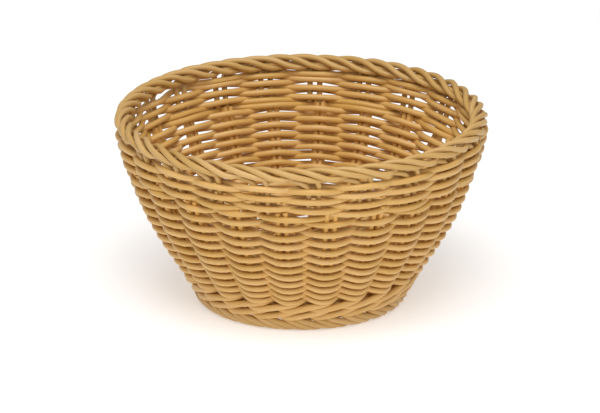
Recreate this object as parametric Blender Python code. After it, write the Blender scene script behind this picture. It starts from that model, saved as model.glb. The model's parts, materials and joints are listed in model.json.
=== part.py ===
"""Round bread basket woven from plastic cane: 205 mm across and 108 mm tall.

Frame: metres, +Z up, origin on the floor at the centre of the foot, front of the basket towards -Y.
Angles run from the front towards +X. The wall is a ring of upright stakes, and the weavers pass in
front of one stake and behind the next, so each row of weave is a ring of eyes with a stake in each eye.
Inside the wall, a place is given as a column number, a sideways offset and an offset from mid-wall.
"""

import math

import bmesh
import bpy

MM = 0.001

# Driving dimensions.
HEIGHT = 108 * MM
CANE = 3 * MM
GAP = 0.3 * MM
STAKES = 22
FIRST_STAKE = math.radians(-6.5)

# Outer skin of the woven wall, as height and radius.
WALL_OUTLINE = tuple(
    (height * MM, radius * MM)
    for height, radius in (
        (0, 54.4),
        (8, 60.7),
        (18, 66.5),
        (38, 79.2),
        (55, 88.5),
        (72, 95.3),
        (88, 100.8),
        (98, 102.6),
        (108, 102.8),
    )
)
LOWER_WALL = 11.6 * MM
UPPER_WALL = 9 * MM

# Heights of the bands of weave, bottom to top.
FOOT_TOP = 8.1 * MM
WALE_TOP = 17.9 * MM
WALE_ROWS = 2
LOWER_TOP = 78.6 * MM
LOWER_BANDS = 3
ROWS_PER_BAND = 4
UPPER_ROWS = 3
UPPER_ROW_HEIGHT = 4.4 * MM
UPPER_ROW_PITCH = 6.5 * MM
UPPER_START = 80.3 * MM
RIM_BASE = 99.6 * MM

# The border stakes of the open rows stand to the left of the lower stakes at the front, in degrees.
UPPER_SHIFT_MEAN = -2.0
UPPER_SHIFT_SWING = -4.0

# Cane groups in plan, as half width and half depth: two by two canes below, two side by side above.
LOWER_STAKE = (3.6 * MM, 2.9 * MM)
UPPER_STAKE = (4.25 * MM, CANE / 2)

# How far the outer skin falls back between two rows of weave.
GROOVE = 0.9 * MM

# Outline of the rolled border, as radius and height, from its outer side over the top.
RIM_CENTRE = (97.2 * MM, 103.4 * MM)
RIM_OUTLINE = tuple(
    (radius * MM, height * MM)
    for radius, height in (
        (102.0, 103.2),
        (101.2, 106.4),
        (98.0, 108.0),
        (94.6, 107.0),
        (92.2, 104.0),
        (92.0, 100.6),
        (93.6, 98.3),
        (96.0, 99.6),
        (100.4, 99.7),
    )
)
RIM_LUMP = 0.08
RIM_TWIST = 3

# Outline of the foot border, from its flat underside up the outer side.
FOOT_OUTLINE = tuple(
    (radius * MM, height * MM)
    for radius, height in ((50.4, 0), (54.4, 0), (56.4, 1.8), (58.7, 4.7), (60.8, 8.1))
)
FOOT_INSIDE = ((50.0 * MM, 8.1 * MM), (49.7 * MM, 4.6 * MM))
FOOT_LUMP = 0.9 * MM
FOOT_SLANT = 350.0

BASE_RADIUS = 48.9 * MM
BASE_BOTTOM = 4.2 * MM
BASE_TOP = 9.8 * MM
BASE_ROUNDS = 5
CROSS_RADIUS = 12.5 * MM
CROSS_CANES = 7
CROSS_BOTTOM = 3.9 * MM

# Linear colours of the plastic.
WEAVE_COLOUR = (0.62, 0.36, 0.105)
STAKE_COLOUR = (0.58, 0.33, 0.092)
BORDER_COLOUR = (0.63, 0.375, 0.118)
BASE_COLOUR = (0.58, 0.33, 0.092)
ROUGHNESS = 0.42


def clear_scene():
    for obj in list(bpy.data.objects):
        bpy.data.objects.remove(obj, do_unlink=True)


def material(name, colour):
    made = bpy.data.materials.new(name)
    made.use_nodes = True
    shader = made.node_tree.nodes["Principled BSDF"]
    shader.inputs["Base Color"].default_value = (*colour, 1)
    shader.inputs["Roughness"].default_value = ROUGHNESS
    shader.inputs["Metallic"].default_value = 0
    made.diffuse_color = (*colour, 1)
    return made


def finish_mesh(name, bm):
    """A smooth-shaded mesh with its faces pointing out."""
    bmesh.ops.recalc_face_normals(bm, faces=bm.faces)
    mesh = bpy.data.meshes.new(name)
    bm.to_mesh(mesh)
    bm.free()
    mesh.shade_smooth()
    mesh.set_sharp_from_angle(angle=math.radians(50))
    return mesh


def place(name, mesh, look, location=(0, 0, 0), turn=0):
    obj = bpy.data.objects.new(name, mesh)
    obj.location = location
    obj.rotation_euler = (0, 0, turn)
    bpy.context.scene.collection.objects.link(obj)
    if not mesh.materials:
        mesh.materials.append(look)
    return obj


def around(angle, radius, height):
    return (radius * math.sin(angle), -radius * math.cos(angle), height)


def slope_at(points, i):
    before = points[max(i - 1, 0)]
    after = points[min(i + 1, len(points) - 1)]
    return (after[1] - before[1]) / (after[0] - before[0])


def wall_outer(height):
    """Radius of the wall's outer skin: a smooth curve through WALL_OUTLINE."""
    points = WALL_OUTLINE
    i = max(j for j in range(len(points) - 1) if points[j][0] <= height)
    low, high = points[i], points[i + 1]
    span = high[0] - low[0]
    t = (height - low[0]) / span
    return (
        low[1] * (2 * t**3 - 3 * t**2 + 1)
        + high[1] * (3 * t**2 - 2 * t**3)
        + slope_at(points, i) * span * (t**3 - 2 * t**2 + t)
        + slope_at(points, i + 1) * span * (t**3 - t**2)
    )


def wall_middle(height, thickness):
    return wall_outer(height) - thickness / 2


def lower_column(number):
    """Angle of a stake of the close weave; a half number is the crossing between two stakes."""
    return FIRST_STAKE + math.tau * number / STAKES


def upper_column(number):
    angle = lower_column(number)
    shift = UPPER_SHIFT_MEAN + UPPER_SHIFT_SWING * math.cos(angle)
    return angle + math.radians(shift)


def loop_of_columns(bm, height, thickness, column, pattern):
    """Vertices round the wall at one height, repeating a pattern of (column part, sideways, radial)."""
    middle = wall_middle(height, thickness)
    loop = []
    for number in range(STAKES):
        for part, sideways, radial in pattern:
            angle = column(number + part) + sideways / middle
            loop.append(bm.verts.new(around(angle, middle + radial, height)))
    return loop


def skin(bm, loops):
    """Quads between closed loops of equal length."""
    for lower, upper in zip(loops, loops[1:]):
        count = len(lower)
        for i in range(count):
            j = (i + 1) % count
            bm.faces.new((lower[i], lower[j], upper[j], upper[i]))


def channel_walls(bm, loops, corners):
    for lower, upper in zip(loops, loops[1:]):
        for start in range(0, len(lower), corners):
            for i in range(corners):
                a, b = start + i, start + (i + 1) % corners
                bm.faces.new((lower[a], lower[b], upper[b], upper[a]))


def eye_cap(bm, outer, inner, channel, corners):
    """The flat end of a band, with one eye per column.

    A channel's corners start at its left tip, go along its outer side to its right tip, and come back.
    """
    right_tip = corners // 2
    for number in range(STAKES):
        left_out, mid_out = outer[2 * number], outer[2 * number + 1]
        left_in, mid_in = inner[2 * number], inner[2 * number + 1]
        following = (2 * number + 2) % len(outer)
        right_out, right_in = outer[following], inner[following]
        eye = channel[number * corners : (number + 1) * corners]
        front = eye[1:right_tip]
        back = eye[right_tip + 1 :]
        bm.faces.new((left_out, mid_out, front[0], eye[0]))
        bm.faces.new((mid_out, right_out, eye[right_tip], front[-1]))
        bm.faces.new((mid_in, left_in, eye[0], back[-1]))
        bm.faces.new((right_in, mid_in, back[0], eye[right_tip]))
        if len(front) > 1:
            bm.faces.new((mid_out, front[1], front[0]))
            bm.faces.new((mid_in, back[1], back[0]))
        bm.faces.new((left_out, eye[0], left_in))
        bm.faces.new((right_out, right_in, eye[right_tip]))


def channel_pattern(stake):
    """Corners of the slot round a stake: its tips and the shoulders of its two flat sides."""
    width, depth = stake[0] + 1.5 * GAP, stake[1] + GAP
    shoulder = width - depth / 2
    return (
        (0, -width, 0),
        (0, -shoulder, depth),
        (0, shoulder, depth),
        (0, width, 0),
        (0, shoulder, -depth),
        (0, -shoulder, -depth),
    )


def woven_band(name, edges, thickness, column, stake, cut_heights, look):
    """Rows of weave as one ring of eyes. edges are the heights where a row starts or ends."""
    bm = bmesh.new()
    crest, crossing = thickness / 2, CANE / 2
    ridge = ((-0.5, 0, crossing), (0, 0, crest))
    groove = ((-0.5, 0, crossing - GROOVE / 2), (0, 0, crest - GROOVE))
    back = ((-0.5, 0, -crossing), (0, 0, -crest))
    slot = channel_pattern(stake)

    def loop(height, pattern):
        return loop_of_columns(bm, height, thickness, column, pattern)

    outer = []
    for low, high in zip(edges, edges[1:]):
        outer.append(loop(low, groove))
        outer.append(loop((low + high) / 2, ridge))
    outer.append(loop(edges[-1], groove))
    inner = [loop(height, back) for height in cut_heights]
    channel = [loop(height, slot) for height in cut_heights]
    skin(bm, outer)
    skin(bm, inner)
    channel_walls(bm, channel, len(slot))
    eye_cap(bm, outer[0], inner[0], channel[0], len(slot))
    eye_cap(bm, outer[-1], inner[-1], channel[-1], len(slot))
    return place(name, finish_mesh(name, bm), look)


def stake_mesh(name, stake, heights, thickness):
    """A group of canes following mid-wall, in the plane of its own column, with its foot at the origin."""
    bm = bmesh.new()
    width, depth = stake
    shoulder = width - depth / 2
    outline = ((-width, 0), (-shoulder, depth), (shoulder, depth))
    outline += ((width, 0), (shoulder, -depth), (-shoulder, -depth))
    foot = wall_middle(heights[0], thickness)
    loops = []
    for height in heights:
        reach = wall_middle(height, thickness) - foot
        rise = height - heights[0]
        loops.append([bm.verts.new((x, -reach - y, rise)) for x, y in outline])
    skin(bm, loops)
    bm.faces.new(loops[0])
    bm.faces.new(loops[-1])
    return finish_mesh(name, bm)


def stand_stakes(prefix, stake, heights, thickness, column, look):
    mesh = stake_mesh(prefix, stake, heights, thickness)
    for number in range(STAKES):
        angle = column(number)
        foot = around(angle, wall_middle(heights[0], thickness), heights[0])
        place(f"{prefix}_{number + 1:02d}", mesh, look, foot, angle)


def turned_ring(name, stations, section, look, height=0):
    """A ring from section(angle), a closed outline of (radius, height), with its origin at that height."""
    bm = bmesh.new()
    loops = []
    for i in range(stations + 1):
        angle = math.tau * (i % stations) / stations
        if i == stations:
            loops.append(loops[0])
            continue
        loops.append([bm.verts.new(around(angle, r, z - height)) for r, z in section(angle)])
    skin(bm, loops)
    return place(name, finish_mesh(name, bm), look, (0, 0, height))


def rim_section(angle):
    """The rolled border: its outline with the slanted lumps of the folded stakes."""
    middle, height = RIM_CENTRE
    points = []
    for radius, rise in RIM_OUTLINE:
        turn = math.atan2(rise - height, radius - middle)
        lump = math.cos(STAKES * (angle - FIRST_STAKE) + RIM_TWIST * turn)
        size = 1 - RIM_LUMP * (1 - lump) / 2
        points.append((middle + size * (radius - middle), height + size * (rise - height)))
    return points


def foot_section(angle):
    """The foot border: flat underneath, with slanted lumps round its outer side."""
    points = list(FOOT_OUTLINE[:2])
    for radius, height in FOOT_OUTLINE[2:]:
        lump = math.cos(STAKES * (angle - FIRST_STAKE) - FOOT_SLANT * height)
        points.append((radius - FOOT_LUMP * (1 - lump) / 2, height))
    points += FOOT_INSIDE
    return points


def base_section(_angle):
    """The woven rounds of the base: a flat ring with rounded ridges on its upper side."""
    start = CROSS_RADIUS + GAP
    step = (BASE_RADIUS - start) / BASE_ROUNDS
    points = [(start, BASE_BOTTOM), (BASE_RADIUS, BASE_BOTTOM)]
    for i in range(BASE_ROUNDS, 0, -1):
        points.append((start + i * step, BASE_TOP - CANE / 2))
        points.append((start + (i - 0.5) * step, BASE_TOP))
    points.append((start, BASE_TOP - CANE / 2))
    return points


def cross_mesh():
    """Canes lying side by side, cut off on a circle and joined as one slab with rounded tops."""
    bm = bmesh.new()
    half = CROSS_CANES * CANE / 2
    outline = [(half, 0), (half, CANE / 2)]
    for i in range(CROSS_CANES):
        left = half - i * CANE
        outline.append((left - CANE / 3, CANE))
        outline.append((left - 2 * CANE / 3, CANE))
        outline.append((left - CANE, CANE / 2))
    outline.append((-half, 0))
    ends = []
    for side in (-1, 1):
        reach = [side * math.sqrt(CROSS_RADIUS**2 - y**2) for y, _ in outline]
        ends.append([bm.verts.new((x, y, z)) for x, (y, z) in zip(reach, outline)])
    skin(bm, ends)
    bm.faces.new(ends[0])
    bm.faces.new(ends[1])
    return finish_mesh("base_cross", bm)


def base():
    look = material("base_cane", BASE_COLOUR)
    turned_ring("base_weave", 33, base_section, look, BASE_BOTTOM)
    mesh = cross_mesh()
    place("base_cross_lower", mesh, look, (0, 0, CROSS_BOTTOM))
    place("base_cross_upper", mesh, look, (0, 0, CROSS_BOTTOM + CANE + GAP), math.pi / 2)


def lower_wall(stake_look, weave_look):
    """The close weave round its four-cane stakes."""
    wale_base, lower_base = FOOT_TOP + GAP, WALE_TOP + GAP
    wale_step = (WALE_TOP - wale_base) / WALE_ROWS
    edges = [wale_base + i * wale_step for i in range(WALE_ROWS + 1)]
    ends = (wale_base, WALE_TOP)
    woven_band("wale_band", edges, LOWER_WALL, lower_column, LOWER_STAKE, ends, weave_look)
    heights = [wale_base + GAP / 2, (WALE_TOP + lower_base) / 2]
    band_step = (LOWER_TOP + GAP - lower_base) / LOWER_BANDS
    for band in range(LOWER_BANDS):
        low = lower_base + band * band_step
        row = (band_step - GAP) / ROWS_PER_BAND
        edges = [low + i * row for i in range(ROWS_PER_BAND + 1)]
        bends = edges[:: ROWS_PER_BAND // 2]
        name = f"lower_weave_{band + 1}"
        woven_band(name, edges, LOWER_WALL, lower_column, LOWER_STAKE, bends, weave_look)
        heights += [bends[1], bends[2] + GAP / 2]
    heights[-1] = LOWER_TOP - GAP / 2
    stand_stakes("stake", LOWER_STAKE, heights, LOWER_WALL, lower_column, stake_look)


def upper_wall(stake_look, weave_look):
    """The open rows below the rim, round pairs of canes."""
    for row in range(UPPER_ROWS):
        low = UPPER_START + row * UPPER_ROW_PITCH
        edges = (low, low + UPPER_ROW_HEIGHT)
        name = f"upper_row_{row + 1}"
        woven_band(name, edges, UPPER_WALL, upper_column, UPPER_STAKE, edges, weave_look)
    heights = (UPPER_START + GAP / 2, (UPPER_START + RIM_BASE) / 2, RIM_BASE - GAP)
    stand_stakes("rim_stake", UPPER_STAKE, heights, UPPER_WALL, upper_column, stake_look)


def wall():
    stake_look = material("stake_cane", STAKE_COLOUR)
    weave_look = material("weaver_cane", WEAVE_COLOUR)
    lower_wall(stake_look, weave_look)
    upper_wall(stake_look, weave_look)


def borders():
    look = material("border_cane", BORDER_COLOUR)
    turned_ring("foot_border", 44, foot_section, look)
    turned_ring("rim_border", 66, rim_section, look, RIM_BASE)


clear_scene()
base()
wall()
borders()
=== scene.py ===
"""Looks of the bread basket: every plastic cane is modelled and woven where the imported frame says.

Angles run from the front (-Y) towards +X. Inside the wall, a place is an angle, a height on the outer
skin, an offset square to the wall from its middle, and a lift along the wall. A column is one group of
upright canes, and its number gives the angle; a half number is halfway to the next. The woven rows are
numbered by turns round the basket, which start at the front.
"""

import json
import math

import bpy
import numpy as np
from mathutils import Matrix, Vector

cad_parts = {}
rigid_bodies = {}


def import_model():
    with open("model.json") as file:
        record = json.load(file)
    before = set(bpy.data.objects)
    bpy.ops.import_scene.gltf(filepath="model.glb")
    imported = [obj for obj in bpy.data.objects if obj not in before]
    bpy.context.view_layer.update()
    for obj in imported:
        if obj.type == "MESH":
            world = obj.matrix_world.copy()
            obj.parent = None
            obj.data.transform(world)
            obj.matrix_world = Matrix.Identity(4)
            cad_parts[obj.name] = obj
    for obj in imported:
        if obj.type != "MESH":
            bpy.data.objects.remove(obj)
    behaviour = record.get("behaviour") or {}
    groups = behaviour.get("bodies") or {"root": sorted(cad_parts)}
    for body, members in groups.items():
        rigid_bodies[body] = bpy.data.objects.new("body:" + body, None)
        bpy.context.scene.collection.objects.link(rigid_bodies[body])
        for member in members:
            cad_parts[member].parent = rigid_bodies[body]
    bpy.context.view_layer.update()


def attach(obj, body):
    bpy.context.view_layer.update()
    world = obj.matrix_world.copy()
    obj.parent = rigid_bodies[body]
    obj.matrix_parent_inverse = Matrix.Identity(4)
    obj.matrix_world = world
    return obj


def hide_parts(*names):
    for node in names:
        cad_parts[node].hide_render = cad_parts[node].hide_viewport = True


MM = 0.001
BODY = "root"

# ---- Sizes, in millimetres -------------------------------------------------------------------

# Thickness of the canes of the pairing, the stakes, the rim, the wale and the foot.
CANE = 3.35
UPRIGHT = 2.9
BORDER = 3.15
WALE = 3.6
FOOT = BORDER + 0.2

# Sides of a cane's ring, and the distance between rings along a weaver and along an upright.
SIDES = 12
STEP = 1.6
UPRIGHT_STEP = 2.0

COLUMNS = 22
FIRST_COLUMN = math.radians(-6.5)
UPPER_SHIFT_MEAN = math.radians(-2.0)
UPPER_SHIFT_SWING = math.radians(-4.0)

# Outer skin of the wall, as height and radius, and the radius that column widths are measured at.
OUTLINE_HEIGHT = np.array([0.0, 8, 18, 38, 55, 72, 88, 98, 108])
OUTLINE_RADIUS = np.array([54.4, 60.7, 66.5, 79.2, 88.5, 95.3, 100.8, 102.6, 102.8])
TYPICAL_RADIUS = 80

# The weavers climb as one spiral, which leans up at the back. Height of the weave at the front at each of
# these turns, and how much higher it runs at the back.
SPIRAL_TURN = np.array([-3.0, -2, -1, 0, 1, 2, 3, 4, 5, 6, 7, 8, 9, 10, 11, 12, 13, 14, 14.55])
SPIRAL_HEIGHT = np.array(
    [4.2, 9.3, 14.5, 18.4, 22.4, 26.8, 31.6, 36.6, 41.8, 47.3, 53.1, 58.9, 64.7, 71.6, 77.7, 82.8]
    + [89.2, 95.4, 97.0]
)
LEAN_TURN = np.array([-2.0, -1, 0.5, 2.5, 4.5, 5.5, 6.5, 8.5, 10.5, 12.5, 13.5, 14.5])
LEAN_HEIGHT = np.array([0.0, 0.9, 3.4, 6.1, 7.3, 7.4, 6.9, 5.6, 2.7, 1.7, 0.6, 0])

# Where the wale and the pairing start and end, in columns, and the pairing's rows.
WALE_START, WALE_END = -56, -11
PAIRING_START = -12
LAST_TURN = 14.54
CLOSE_ROWS = 11
ROWS = 15

# How far strands swing to either side of the wall's middle, in the close rows and in the open ones. A stake
# follows over a stretch of height, where its layers lose part of their offset. The weave changes, and moves
# to the upper columns, at a turn.
LOWER_REACH = 4.5
UPPER_REACH = 3.15
THINNING_HEIGHT = 66.0
THINNING_LENGTH = 8.0
THINNED_STAKE = 0.6
CHANGE_TURN = 10.985
CHANGE_LENGTH = 0.05

# Rise and fall of a paired strand along the wall, once and twice in each eye, and as it twists.
SWING = 0.45
CREST = 0.25
TWIST = 1.2
TWIST_SHARPNESS = 0.6
TWIST_LOSS = 2.3

# How far apart, in turns, the two strands of a pair run: at the back, and at the front of the top rows.
BACK_APART = 0.4
FRONT_APART = 0.3
APART_FROM_TURN = 4
APART_OVER_TURNS = 6

# The wale's strands: how high they slant, and how long they stay in front.
WALE_SLANT = 2.3
WALE_FLATNESS = 1.5
WALE_FRONT_BIAS = 0.6

# Lower stakes, as two layers of canes: offset from the wall's middle and sideways distance from its column.
STAKE_FOOT = 4.6
STAKE_TOP = 80.6
STAKE_LAYERS = ((-1.47, 1.7), (1.47, 2.2))

# A border cane's way: up through the open rows, half a pair's width to the side of its column, from just
# under the first of them; then behind its neighbours, as sideways distance, radius and height. It comes out
# of there either straight (left canes) or with a dip (right canes), and rolls over the top and in. The last
# tables hold distance travelled to the left of where it comes out, radius and height.
UPPER_PAIR = 2.75
RIM_START_DROP = 0.6
RIM_START_ANGLE = 0.15
RIM_UPRIGHT_HEIGHTS = (86.0, 91.0, 95.0)
RIM_BEHIND_LEFT = ((-4.0, 98.3, 98.0), (-7.6, 98.2, 100.3), (-13.0, 97.0, 101.2), (-20.0, 96.0, 101.0))
RIM_BEHIND_RIGHT = ((2.7, 98.7, 98.4), (1.9, 98.9, 100.6), (-1.2, 97.0, 102.6), (-6.5, 96.2, 103.4))
RIM_START_LEFT, RIM_START_RIGHT = -27.6, -13.6
RIM_OUT_LEFT = ((0.0, 99.4, 101.9), (6.5, 100.3, 103.3), (12.5, 100.6, 104.9))
RIM_OUT_RIGHT = ((0.0, 98.6, 102.6), (3.2, 100.3, 102.1), (7.6, 100.8, 102.7), (12.5, 100.6, 104.4))
RIM_OVER = (
    (18.0, 99.6, 106.1),
    (23.0, 98.0, 106.7),
    (28.5, 96.0, 106.6),
    (33.5, 94.4, 105.4),
    (38.5, 93.8, 103.3),
    (44.0, 94.7, 101.6),
    (49.0, 96.4, 101.2),
)
RIM_ARC_RADIUS = 98.0

# A foot cane's way down, as share of its travel, radius and height. A column has two canes: where each
# starts and how far round it travels.
FOOT_FALL = (
    (-0.3, 56.4, 8.4),
    (0.0, 57.6, 6.5),
    (0.25, 57.3, 4.9),
    (0.5, 56.3, 3.4),
    (0.75, 55.2, 2.4),
    (1.0, 53.7, 1.75),
    (1.4, 50.8, 1.9),
    (1.7, 49.2, 3.6),
)
FOOT_PAIR = ((0.0, 14.5), (6.6, 19.0))
FOOT_LEAD = 0.05
FOOT_ARC_RADIUS = 57.0

# The woven floor: a cross of straight canes, spokes, and two weavers in rounds that widen by a pitch a turn.
CROSS_CANES = 7
CROSS_SPACING = 3.3
CROSS_RADIUS = 13.6
CROSS_HEIGHTS = (5.5, 8.7)
SPOKE_HEIGHT = 7.0
SPOKE_FROM, SPOKE_TO = 12.5, 50.5
ROUNDS_FROM, ROUNDS_TO = 16.0, 50.2
ROUNDS_PITCH = 6.3
ROUNDS_OVERRUN = 0.2
ROUNDS_SWING_OUT = 1.55
ROUNDS_SWING_UP = 1.75
ROUNDS_FLATNESS = 1.3
ROUNDS_ANGLE_STEP = 0.04

# The rings that close a cane's tip: how far along the tip each one is, and how wide. A blunt tip is short
# and keeps most of its width. A thin one first narrows over some length to a share of its width.
TIP_STEPS = np.array([0.35, 0.7, 0.92])
TIP_WIDTHS = np.sqrt(1 - TIP_STEPS**2)
BLUNT_DEPTH = 0.35
BLUNT_LIMIT = 0.32
BLUNT_POWER = 0.35
THIN_LENGTH = 7.0
THIN_WIDTH = 0.35

# ---- Looks -----------------------------------------------------------------------------------

# Each kind of cane's middle colour, and its darker and lighter streaks.
WEAVER_COLOURS = ((0.68, 0.405, 0.122), (0.61, 0.35, 0.097), (0.73, 0.455, 0.15))
STAKE_COLOURS = ((0.73, 0.42, 0.108), (0.65, 0.36, 0.087), (0.78, 0.47, 0.135))
# The border canes are darker than the other canes: painted shade, standing in for the shade on the rim and
# the foot.
BORDER_COLOURS_WITH_PAINTED_SHADE = ((0.60, 0.363, 0.118), (0.53, 0.315, 0.094), (0.65, 0.412, 0.146))
BASE_COLOURS = ((0.72, 0.435, 0.136), (0.64, 0.375, 0.11), (0.77, 0.48, 0.165))

# Noise per metre across a cane, its stretch along the cane, and its detail.
STREAKS = (2400, 0.02, 3)
PATCHES = (260, 0.12, 2)
RIDGES = (3600, 0.012, 2)
RIDGE_DEPTH_M = 0.00012
RIDGE_STRENGTH = 0.35

# How far apart, in millimetres, two canes' places in the noise may be, across and along.
NOISE_ACROSS = 40
NOISE_ALONG = 400

FLOOR_HALF_M = 4.0
FLOOR_GREY = 0.8
FLOOR_GLOW = 0.42
WORLD_GLOW = 0.38
LIGHT_AIM_M = (0, 0, 0.05)

CAMERA_ELEVATION = math.radians(19.3)
CAMERA_DISTANCE_M = 5.0
CAMERA_AIM_M = (-0.0007, 0, 0.050)
CAMERA_RAISE_M = 0.00235
CAMERA_LENS = 546

rng = np.random.default_rng(22)


# ---- The wall as a surface -------------------------------------------------------------------


def outer_radius(height):
    """Radius of the outer skin at each height, a smooth curve through the outline."""
    h = np.clip(np.asarray(height, float), OUTLINE_HEIGHT[0], OUTLINE_HEIGHT[-1])
    slopes = np.gradient(OUTLINE_RADIUS, OUTLINE_HEIGHT)
    i = np.clip(np.searchsorted(OUTLINE_HEIGHT, h, side="right") - 1, 0, len(OUTLINE_HEIGHT) - 2)
    span = OUTLINE_HEIGHT[i + 1] - OUTLINE_HEIGHT[i]
    t = (h - OUTLINE_HEIGHT[i]) / span
    return (
        OUTLINE_RADIUS[i] * (2 * t**3 - 3 * t**2 + 1)
        + OUTLINE_RADIUS[i + 1] * (3 * t**2 - 2 * t**3)
        + slopes[i] * span * (t**3 - 2 * t**2 + t)
        + slopes[i + 1] * span * (t**3 - t**2)
    )


def wall_frame(height):
    """Radius, and the outward normal and upward tangent as (radial, vertical), at each height."""
    radius = outer_radius(height)
    rise = outer_radius(height + 0.5) - outer_radius(height - 0.5)
    length = np.hypot(rise, 1)
    normal = np.stack([1 / length, -rise / length], axis=-1)
    tangent = np.stack([rise / length, 1 / length], axis=-1)
    return radius, normal, tangent


def place(angle, radius, height):
    return np.stack([radius * np.sin(angle), -radius * np.cos(angle), height], axis=-1)


def in_wall(angle, height, offset, lift, reach):
    """Points at an offset from the middle of a wall whose strands swing that far to either side of it."""
    radius, normal, tangent = wall_frame(height)
    out = offset - (reach + CANE / 2)
    r = radius + out * normal[..., 0] + lift * tangent[..., 0]
    z = height + out * normal[..., 1] + lift * tangent[..., 1]
    return place(angle, r, z)


def lower_column(number):
    return FIRST_COLUMN + math.tau * np.asarray(number, float) / COLUMNS


def upper_column(number):
    """Angle of a pair of upper stakes, which stands a little to the side of its lower column."""
    angle = lower_column(number)
    return angle + UPPER_SHIFT_MEAN + UPPER_SHIFT_SWING * np.cos(angle)


def wander(amount, count, wavelength):
    """Smooth irregularity along a cane of that many points."""
    s = np.arange(count) * STEP / wavelength
    waves = rng.uniform(0, math.tau, 3)
    return amount * (
        0.6 * np.sin(s * math.tau + waves[0])
        + 0.4 * np.sin(s * math.tau * 1.83 + waves[1])
        + 0.3 * np.sin(s * math.tau * 0.47 + waves[2])
    )


# ---- Canes -----------------------------------------------------------------------------------


def smooth_path(points):
    """A Catmull-Rom curve through points, resampled at even steps."""
    p = np.asarray(points, float)
    p = np.vstack([2 * p[0] - p[1], p, 2 * p[-1] - p[-2]])
    t = np.linspace(0, 1, 12, endpoint=False)[:, None]
    pieces = []
    for a, b, c, d in zip(p, p[1:], p[2:], p[3:]):
        square, cube = 2 * a - 5 * b + 4 * c - d, 3 * b - a - 3 * c + d
        pieces.append(0.5 * (2 * b + (c - a) * t + square * t**2 + cube * t**3))
    fine = np.vstack([*pieces, p[-2:-1]])
    gone = distances(fine)
    count = max(int(gone[-1] / STEP), 3) + 1
    even = np.linspace(0, gone[-1], count)
    return np.stack([np.interp(even, gone, fine[:, i]) for i in range(3)], axis=-1)


def distances(path):
    """Distance travelled at each point of a path."""
    return np.concatenate([[0], np.cumsum(np.linalg.norm(np.diff(path, axis=0), axis=1))])


def tip_rings(end, way, radius, thickness, is_round):
    """Centres, radii and distances from the end of the rings that close a cane's tip."""
    if is_round:
        length, widths = radius, TIP_WIDTHS
    else:
        length, widths = min(BLUNT_LIMIT * thickness, radius) * BLUNT_DEPTH, TIP_WIDTHS**BLUNT_POWER
    return end + way * (length * TIP_STEPS)[:, None], radius * widths, length * TIP_STEPS


class Canes:
    """Collects round canes into one mesh."""

    def __init__(self):
        self.points, self.faces, self.caps, self.straight, self.tones = [], [], [], [], []
        self.count = 0

    def add(self, path, thickness=CANE, tip="cut", up=None):
        """One cane along a path in millimetres. It starts with a cut; its far tip is cut, round or thin.
        Up says where its rings start, which is outwards from the basket's axis if it isn't given."""
        path = np.asarray(path, float)
        along = distances(path)
        radius = np.full(len(path), thickness / 2)
        tangent = np.gradient(path, axis=0)
        tangent /= np.linalg.norm(tangent, axis=1)[:, None]
        if tip == "thin":
            left = np.clip((along[-1] - along) / THIN_LENGTH, 0, 1)
            radius *= THIN_WIDTH + (1 - THIN_WIDTH) * np.sqrt(left)
        first = tip_rings(path[0], -tangent[0], radius[0], thickness, False)
        last = tip_rings(path[-1], tangent[-1], radius[-1], thickness, tip == "round")
        centre = np.vstack([first[0][::-1], path, last[0]])
        radius = np.concatenate([first[1][::-1], radius, last[1]])
        run = np.concatenate([along[0] - first[2][::-1], along, along[-1] + last[2]])
        way = np.vstack([np.tile(tangent[0], (3, 1)), tangent, np.tile(tangent[-1], (3, 1))])
        if up is None:
            out = centre * (1, 1, 0)
            out /= np.linalg.norm(out, axis=1)[:, None]
        else:
            out = np.tile(np.asarray(up, float), (len(centre), 1))
        self.add_rings(centre, way, out, radius, run, thickness)

    def add_rings(self, centre, way, out, radius, run, thickness):
        """A closed tube of rings, with its place in the noise and a tone of its own."""
        side = np.cross(way, out)
        side /= np.linalg.norm(side, axis=1)[:, None]
        up = np.cross(side, way)
        turn = np.arange(SIDES) * math.tau / SIDES
        ring = np.cos(turn)[None, :, None] * up[:, None] + np.sin(turn)[None, :, None] * side[:, None]
        shape = centre[:, None] + radius[:, None, None] * ring
        seed = rng.uniform(0, 1, 3)
        flat = np.empty(shape.shape)
        flat[..., 0] = thickness / 2 * np.cos(turn)[None] + NOISE_ACROSS * seed[0]
        flat[..., 1] = thickness / 2 * np.sin(turn)[None] + NOISE_ACROSS * seed[1]
        flat[..., 2] = run[:, None] + NOISE_ALONG * seed[2]
        rings = len(centre)
        base = self.count
        row = base + np.arange(rings - 1)[:, None] * SIDES
        a = row + np.arange(SIDES)[None]
        b = row + (np.arange(SIDES)[None] + 1) % SIDES
        self.faces.append(np.stack([a + SIDES, b + SIDES, b, a], axis=-1).reshape(-1, 4))
        self.caps.append([base + i for i in range(SIDES)])
        self.caps.append([base + (rings - 1) * SIDES + i for i in reversed(range(SIDES))])
        self.points.append(shape.reshape(-1, 3))
        self.straight.append(flat.reshape(-1, 3))
        self.tones.append(np.full(rings * SIDES, rng.uniform(-1, 1)))
        self.count += rings * SIDES

    def build(self, name, look, nodes):
        """One object of all the canes, which stands for these CAD nodes."""
        points = np.vstack(self.points) * MM
        mesh = bpy.data.meshes.new(name)
        mesh.from_pydata(points.tolist(), [], np.vstack(self.faces).tolist() + self.caps)
        mesh.shade_smooth()
        straight = mesh.attributes.new("straight", "FLOAT_VECTOR", "POINT")
        straight.data.foreach_set("vector", (np.vstack(self.straight) * MM).astype(np.float32).ravel())
        tone = mesh.attributes.new("tone", "FLOAT", "POINT")
        tone.data.foreach_set("value", np.concatenate(self.tones).astype(np.float32))
        mesh.materials.append(look)
        obj = bpy.data.objects.new(name, mesh)
        bpy.context.scene.collection.objects.link(obj)
        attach(obj, BODY)
        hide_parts(*nodes)


# ---- Materials -------------------------------------------------------------------------------


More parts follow.
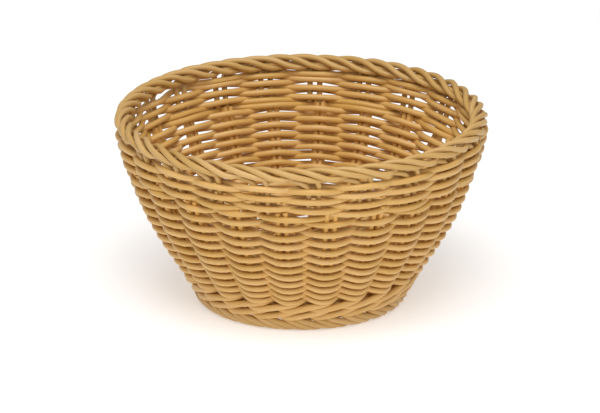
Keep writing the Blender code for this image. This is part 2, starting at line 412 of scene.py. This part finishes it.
def cane_material(name, colour, dark, light):
    """Satin plastic cane: lengthwise streaks, a tone of its own for each cane, and fine ridges."""
    made = bpy.data.materials.new(name)
    made.use_nodes = True
    nodes, links = made.node_tree.nodes, made.node_tree.links
    shader = nodes["Principled BSDF"]

    def node(kind, **settings):
        new = nodes.new(kind)
        for key, value in settings.items():
            setattr(new, key, value)
        return new

    def noise(source, scale, stretch, detail):
        scaled = node("ShaderNodeVectorMath", operation="MULTIPLY")
        scaled.inputs[1].default_value = (scale, scale, scale * stretch)
        links.new(source, scaled.inputs[0])
        texture = node("ShaderNodeTexNoise")
        texture.inputs["Scale"].default_value = 1
        texture.inputs["Detail"].default_value = detail
        links.new(scaled.outputs[0], texture.inputs["Vector"])
        return texture.outputs["Fac"]

    def spread(value, low, high, from_low=0.3, from_high=0.7):
        mapped = node("ShaderNodeMapRange")
        mapped.inputs["From Min"].default_value = from_low
        mapped.inputs["From Max"].default_value = from_high
        mapped.inputs["To Min"].default_value = low
        mapped.inputs["To Max"].default_value = high
        links.new(value, mapped.inputs["Value"])
        return mapped.outputs["Result"]

    def blend(factor, first, second):
        mix = node("ShaderNodeMix", data_type="RGBA")
        links.new(factor, mix.inputs["Factor"])
        for socket, value in ((mix.inputs["A"], first), (mix.inputs["B"], second)):
            if isinstance(value, tuple):
                socket.default_value = (*value, 1)
            else:
                links.new(value, socket)
        return mix.outputs["Result"]

    straight = node("ShaderNodeAttribute", attribute_name="straight").outputs["Vector"]
    tone = node("ShaderNodeAttribute", attribute_name="tone").outputs["Fac"]
    streaks = noise(straight, *STREAKS)
    patches = noise(straight, *PATCHES)
    ridges = noise(straight, *RIDGES)
    by_streak = blend(spread(streaks, 0, 1, 0.32, 0.68), dark, light)
    by_patch = blend(spread(patches, 0.25, 0.75), by_streak, colour)
    own = node("ShaderNodeHueSaturation")
    links.new(by_patch, own.inputs["Color"])
    links.new(spread(tone, 0.94, 1.06, -1, 1), own.inputs["Value"])
    links.new(spread(tone, 1.04, 0.96, -1, 1), own.inputs["Saturation"])
    links.new(own.outputs["Color"], shader.inputs["Base Color"])
    links.new(spread(streaks, 0.40, 0.54), shader.inputs["Roughness"])
    bump = node("ShaderNodeBump")
    bump.inputs["Strength"].default_value = RIDGE_STRENGTH
    bump.inputs["Distance"].default_value = RIDGE_DEPTH_M
    links.new(ridges, bump.inputs["Height"])
    links.new(bump.outputs["Normal"], shader.inputs["Normal"])
    shader.inputs["IOR"].default_value = 1.47
    shader.inputs["Coat Weight"].default_value = 0.12
    shader.inputs["Coat Roughness"].default_value = 0.35
    made.diffuse_color = (*colour, 1)
    return made


# ---- The weave -------------------------------------------------------------------------------


def backness(turn):
    """How far round to the back a place is: 0 at the front and 1 at the back."""
    return (1 - np.cos(math.tau * turn)) / 2


def spiral_height(turn, ahead=0.0):
    """Height of the weave after so many turns, for a weaver that runs this many turns ahead of the middle."""
    lean = np.interp(turn + ahead, LEAN_TURN, LEAN_HEIGHT)
    climb = np.interp(turn + ahead, SPIRAL_TURN, SPIRAL_HEIGHT)
    return climb + lean * backness(turn)


def columns_between(start, end):
    length = math.tau * TYPICAL_RADIUS / COLUMNS * (end - start)
    return np.linspace(start, end, max(int(length / STEP), 4) + 1)


def apart_in_turns(turn):
    """How far one weaver of a pair runs above the other: most at the back, and not at all low in front."""
    back = backness(turn)
    growth = np.clip((turn - APART_FROM_TURN) / APART_OVER_TURNS, 0, 1)
    return BACK_APART * back + FRONT_APART * growth * (1 - back)


def paired_strand(start, end, strand):
    """One of the two weavers that twist round each other, in front of every second column. Where they run
    apart, they twist less. From the change turn on, the columns are the upper ones."""
    column = columns_between(start, end)
    turn = column / COLUMNS
    share = np.clip((turn - CHANGE_TURN) / CHANGE_LENGTH, 0, 1)
    angle = lower_column(column) * (1 - share) + upper_column(column + 1) * share
    reach = LOWER_REACH + share * (UPPER_REACH - LOWER_REACH)
    apart = apart_in_turns(turn)
    height = spiral_height(turn, apart * (strand - 0.5))
    rise = TWIST * (1 - TWIST_LOSS * apart)
    phase = math.pi * (column - strand)
    count = len(column)
    offset = reach * np.cos(phase) + wander(0.12, count, 31)
    lift = CREST * np.cos(2 * phase) + SWING * np.cos(phase)
    lift += wander(0.15, count, 47) - rise * np.sin(phase) * np.abs(np.sin(phase)) ** TWIST_SHARPNESS
    return in_wall(angle, height, offset, lift, reach)


def waled_strand(start, end, strand):
    """One of the three weavers of the wale, in front of two columns and behind the third."""
    column = columns_between(start, end)
    height = spiral_height(column / COLUMNS)
    phase = math.tau * (column - strand - 0.5) / 3
    offset = LOWER_REACH * np.tanh(WALE_FLATNESS * np.cos(phase) + WALE_FRONT_BIAS)
    count = len(column)
    lift = WALE_SLANT * np.sin(phase) + wander(0.15, count, 47)
    return in_wall(lower_column(column), height, offset + wander(0.1, count, 31), lift, LOWER_REACH)


def weave(look):
    """The wale, then the pairing, one object to a turn."""
    for strand in range(3):
        canes = Canes()
        canes.add(waled_strand(strand + WALE_START, strand + WALE_END, strand), WALE)
        canes.build(f"wale_{'abc'[strand]}", look, ["wale_band"])
    for row in range(ROWS):
        canes = Canes()
        start = row * COLUMNS - 1 if row else PAIRING_START
        end = min((row + 1) * COLUMNS - 1, LAST_TURN * COLUMNS)
        for strand in range(2):
            canes.add(paired_strand(start + strand, end + strand, strand))
        if row < CLOSE_ROWS:
            node = f"lower_weave_{min(row // 4 + 1, 3)}"
            canes.build(f"weave_row_{row + 1:02d}", look, [node])
        else:
            number = row - CLOSE_ROWS + 1
            canes.build(f"open_row_{number}", look, [f"upper_row_{min(number, 3)}"])


# ---- Uprights and rim ------------------------------------------------------------------------


def standing(angle, low, high, offset, aside):
    """An upright cane. Where the wall gets thinner, the layers of a stake come closer together."""
    height = np.linspace(low, high, max(int((high - low) / UPRIGHT_STEP), 3) + 1)
    share = np.clip((height - THINNING_HEIGHT) / THINNING_LENGTH, 0, 1)
    reach = LOWER_REACH + share * (UPPER_REACH - LOWER_REACH)
    radius = outer_radius(height) - reach
    return in_wall(angle + aside / radius, height, offset * (1 - THINNED_STAKE * share), 0, reach)


def stakes(look):
    """Four canes to a column of the close weave: two inside and two outside."""
    for number in range(COLUMNS):
        canes = Canes()
        angle = float(lower_column(number))
        for layer, gap in STAKE_LAYERS:
            for side in (-1, 1):
                top = STAKE_TOP + rng.uniform(-1.0, 0.5)
                aside = side * gap + rng.uniform(-0.25, 0.25)
                canes.add(standing(angle, STAKE_FOOT, top, layer, aside), UPRIGHT)
        canes.build(f"stake_group_{number + 1:02d}", look, [f"stake_{number + 1:02d}"])


def rim_cane(number, left):
    """One border cane: up through the open rows, behind its neighbours and round the rolled border."""
    centre = float(upper_column(number))
    side = -UPPER_PAIR if left else UPPER_PAIR
    turn = CHANGE_TURN + ((centre - RIM_START_ANGLE) % math.tau) / math.tau
    points = []
    for height in (float(spiral_height(turn)) - RIM_START_DROP, *RIM_UPRIGHT_HEIGHTS):
        points.append((side, float(outer_radius(height)) - UPPER_REACH - CANE / 2, height))
    if left:
        behind, start, out = RIM_BEHIND_LEFT, RIM_START_LEFT, RIM_OUT_LEFT
    else:
        behind, start, out = RIM_BEHIND_RIGHT, RIM_START_RIGHT, RIM_OUT_RIGHT
    points += behind
    drift = rng.uniform(-0.3, 0.3, 3)
    for run, r, z in out + RIM_OVER:
        points.append((start - run + drift[0], r + drift[1] * 0.6, z + drift[2] * 0.6))
    return smooth_path([place(centre + d / RIM_ARC_RADIUS, r, z) for d, r, z in points])


def rim(look):
    """The upper stakes, which turn into the rolled border, a pair to an object."""
    for number in range(COLUMNS):
        canes = Canes()
        for left in (True, False):
            canes.add(rim_cane(number, left), BORDER, tip="round")
        nodes = [f"rim_stake_{number + 1:02d}", "rim_border"]
        canes.build(f"border_pair_{number + 1:02d}", look, nodes)


# ---- Foot and floor --------------------------------------------------------------------------


def foot(look):
    """The foot border: canes drop from under the wale, over the outside and in underneath."""
    canes = Canes()
    for number in range(COLUMNS):
        for start, travel in FOOT_PAIR:
            centre = float(lower_column(number + FOOT_LEAD))
            begin = start + rng.uniform(-0.3, 0.3)
            path = [
                place(centre + (begin + share * travel) / FOOT_ARC_RADIUS, r, z)
                for share, r, z in FOOT_FALL
            ]
            canes.add(smooth_path(path), FOOT, tip="thin")
    canes.build("foot_canes", look, ["foot_border"])


def flat_wave(x):
    """A wave with flatter tops, for a weaver that lies along a spoke before it dives."""
    return np.tanh(ROUNDS_FLATNESS * x) / math.tanh(ROUNDS_FLATNESS)


def base(look):
    """The woven floor: two crossed layers of straight canes, spokes, and rounds of weave on the spokes."""
    canes = Canes()
    for layer, level in enumerate(CROSS_HEIGHTS):
        turn = layer * math.pi / 2
        for i in range(CROSS_CANES):
            y = (i - CROSS_CANES // 2) * CROSS_SPACING
            half = math.sqrt(CROSS_RADIUS**2 - y**2)
            x = np.linspace(-half, half, 9)
            across = x * math.cos(turn) - y * math.sin(turn)
            along = x * math.sin(turn) + y * math.cos(turn)
            canes.add(np.stack([across, along, np.full(9, level)], -1), up=(0, 0, 1))
    canes.build("base_cross", look, ["base_cross_lower", "base_cross_upper"])
    canes = Canes()
    for number in range(COLUMNS):
        angle = float(lower_column(number))
        r = np.linspace(SPOKE_FROM, SPOKE_TO, 24)
        path = place(np.full(24, angle), r, np.full(24, SPOKE_HEIGHT))
        canes.add(path, UPRIGHT, up=(0, 0, 1))
    canes.build("base_spokes", look, ["base_weave"])
    turns = (ROUNDS_TO - ROUNDS_FROM) / ROUNDS_PITCH
    for strand in range(2):
        canes = Canes()
        angle = np.arange(0, (turns + ROUNDS_OVERRUN) * math.tau, ROUNDS_ANGLE_STEP)
        phase = COLUMNS / 2 * (angle - FIRST_COLUMN) + math.pi * strand
        r = ROUNDS_FROM + ROUNDS_PITCH * np.minimum(angle / math.tau, turns)
        r += ROUNDS_SWING_OUT * flat_wave(np.sin(phase))
        z = SPOKE_HEIGHT + ROUNDS_SWING_UP * flat_wave(np.cos(phase))
        canes.add(place(angle, r, z), up=(0, 0, 1))
        canes.build(f"base_rounds_{'ab'[strand]}", look, ["base_weave"])


# ---- Stage -----------------------------------------------------------------------------------


def stage():
    """A plain pale floor that glows a little, an even studio light and two softboxes."""
    mesh = bpy.data.meshes.new("floor")
    half = FLOOR_HALF_M
    corners = [(-half, -half, 0), (half, -half, 0), (half, half, 0), (-half, half, 0)]
    mesh.from_pydata(corners, [], [(0, 1, 2, 3)])
    floor = bpy.data.objects.new("floor", mesh)
    look = bpy.data.materials.new("floor")
    look.use_nodes = True
    shader = look.node_tree.nodes["Principled BSDF"]
    shader.inputs["Base Color"].default_value = (FLOOR_GREY, FLOOR_GREY, FLOOR_GREY, 1)
    shader.inputs["Roughness"].default_value = 0.9
    shader.inputs["Specular IOR Level"].default_value = 0.1
    shader.inputs["Emission Color"].default_value = (1, 1, 1, 1)
    shader.inputs["Emission Strength"].default_value = FLOOR_GLOW
    mesh.materials.append(look)
    bpy.context.scene.collection.objects.link(floor)

    world = bpy.data.worlds.new("studio")
    world.use_nodes = True
    background = world.node_tree.nodes["Background"]
    background.inputs["Color"].default_value = (1, 1, 1, 1)
    background.inputs["Strength"].default_value = WORLD_GLOW
    bpy.context.scene.world = world

    softbox("key", (-0.05, -0.5, 1.4), (1.0, 0.8), 12.0)
    softbox("fill", (0.1, -1.2, 1.0), (0.7, 0.7), 5.5)


def softbox(name, location, size, power):
    """A rectangular light, in metres and watts, that faces the basket."""
    light = bpy.data.lights.new(name, "AREA")
    light.shape = "RECTANGLE"
    light.size, light.size_y = size
    light.energy = power
    obj = bpy.data.objects.new(name, light)
    obj.location = location
    aim = Vector(LIGHT_AIM_M) - Vector(location)
    obj.rotation_euler = aim.to_track_quat("-Z", "Y").to_euler()
    bpy.context.scene.collection.objects.link(obj)


def camera():
    """A distant camera with a long lens, at the photograph's angle."""
    sine, cosine = math.sin(CAMERA_ELEVATION), math.cos(CAMERA_ELEVATION)
    aim = Vector(CAMERA_AIM_M) + CAMERA_RAISE_M * Vector((0, sine, cosine))
    back = Vector((0, -cosine, sine))
    data = bpy.data.cameras.new("camera")
    data.sensor_width = 36
    data.lens = CAMERA_LENS
    data.clip_start, data.clip_end = 0.1, 20
    obj = bpy.data.objects.new("camera", data)
    obj.location = aim + CAMERA_DISTANCE_M * back
    obj.rotation_euler = (-back).to_track_quat("-Z", "Y").to_euler()
    bpy.context.scene.collection.objects.link(obj)
    bpy.context.scene.camera = obj


for leftover in list(bpy.data.objects):
    bpy.data.objects.remove(leftover, do_unlink=True)
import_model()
camera()
stage()
bpy.context.scene.view_settings.view_transform = "Standard"
weaver = cane_material("weaver_cane", *WEAVER_COLOURS)
stake = cane_material("stake_cane", *STAKE_COLOURS)
# The border material, used on the rim and the foot, is darkened with painted shade.
border = cane_material("border_cane", *BORDER_COLOURS_WITH_PAINTED_SHADE)
floor_cane = cane_material("base_cane", *BASE_COLOURS)
weave(weaver)
stakes(stake)
rim(border)
foot(border)
base(floor_cane)
